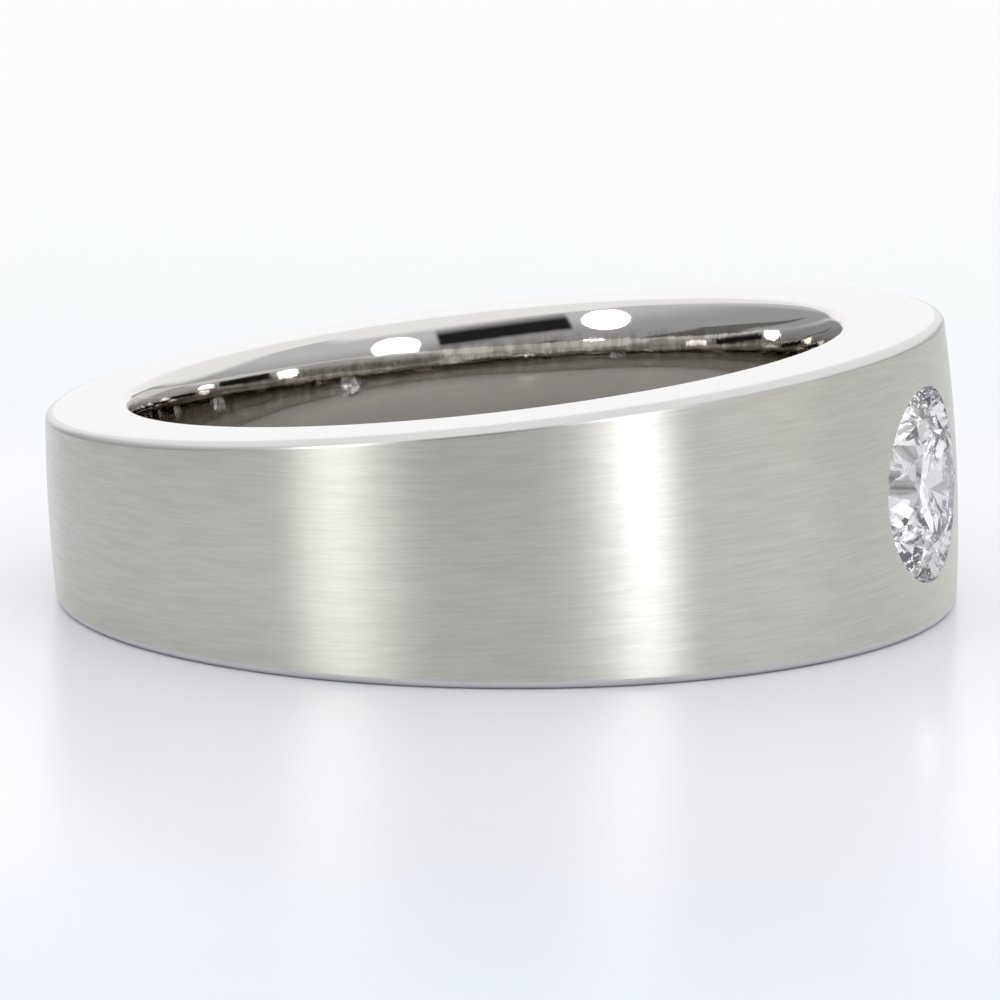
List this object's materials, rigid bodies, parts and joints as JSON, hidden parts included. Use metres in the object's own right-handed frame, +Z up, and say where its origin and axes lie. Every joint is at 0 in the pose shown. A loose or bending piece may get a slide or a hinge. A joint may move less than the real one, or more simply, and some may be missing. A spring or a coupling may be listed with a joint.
{
  "type": "wedding band",
  "caption": "Tapered finger ring with a brushed domed outside, polished flat sides, a comfort-fit bore and a round brilliant set flush in the widest part.",
  "frame": {"origin": "centre of the ring's bounding box in X and Y, at the plane of the lower side face that it lies on", "axes": "+Z up, out of the lower side face; +X towards the stone in the widest part; +Y completes the right-handed frame. The bore's axis leans from +Z towards -X by half the taper, 3.50 degrees."},
  "size_m": [0.026, 0.0258, 0.0083],
  "materials": {
    "white_gold": "white gold, brushed round the outside, polished on the side faces and in the bore",
    "diamond": "clear, polished facets"
  },
  "bodies": {
    "root": {"band": "white_gold", "diamond": "diamond"}
  },
  "joints": []
}
